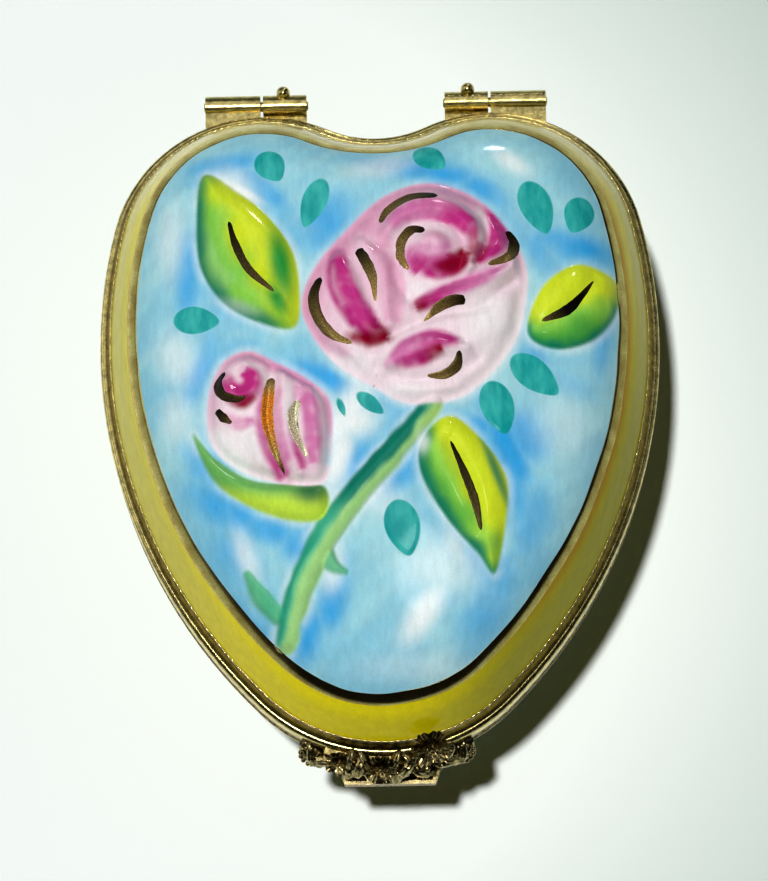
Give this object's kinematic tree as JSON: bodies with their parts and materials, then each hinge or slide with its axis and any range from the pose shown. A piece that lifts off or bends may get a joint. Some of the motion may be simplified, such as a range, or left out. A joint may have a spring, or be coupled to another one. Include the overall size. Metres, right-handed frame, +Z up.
{
  "type": "trinket box",
  "caption": "Heart-shaped porcelain trinket box with a domed lid painted with a rose spray in relief, gilt metal mounts, two rear hinges and a floral clasp.",
  "frame": {"origin": "middle of the bounding box, at its bottom, on the surface the box stands on", "axes": "+Y from the heart's tip and clasp to its lobes and hinges, +Z up, +X to the right seen from the clasp"},
  "size_m": [0.05, 0.0645, 0.0288],
  "materials": {
    "painted_lid": "hand-painted, gloss glaze",
    "painted_base": "hand-painted, gloss glaze",
    "cement": "matt",
    "gilt_mounts": "polished and gilt, darkened in the hollows",
    "milled_band": "milled, aged",
    "cast_gilt": "cast and gilt, dark in the hollows",
    "pin_brass": "drawn wire"
  },
  "bodies": {
    "base": {"base_porcelain": "painted_base", "base_bedding": "cement", "base_mount": "gilt_mounts", "base_decor_band": "milled_band", "catch_tray": "cast_gilt", "catch_spray": "cast_gilt", "catch_wing_left": "cast_gilt", "catch_wing_right": "cast_gilt", "snap_nib": "cast_gilt", "base_knuckle_left": "gilt_mounts", "base_knuckle_right": "gilt_mounts", "hinge_pin_left": "pin_brass", "hinge_pin_right": "pin_brass", "stop_bead_left": "gilt_mounts", "stop_bead_right": "gilt_mounts"},
    "lid": {"lid_porcelain": "painted_lid", "lid_bedding": "cement", "lid_mount": "gilt_mounts", "lid_lip_wire": "gilt_mounts", "lid_knuckle_left": "gilt_mounts", "lid_knuckle_right": "gilt_mounts", "clasp_tongue": "cast_gilt", "clasp_flower": "cast_gilt", "clasp_spray": "cast_gilt"}
  },
  "joints": [
    {"name": "lid_hinge", "type": "hinge", "parent": "base", "child": "lid", "pos_m": [0, 0.03065, 0.0165], "axis": [-1, 0, 0], "range_deg": [0, 95]}
  ]
}
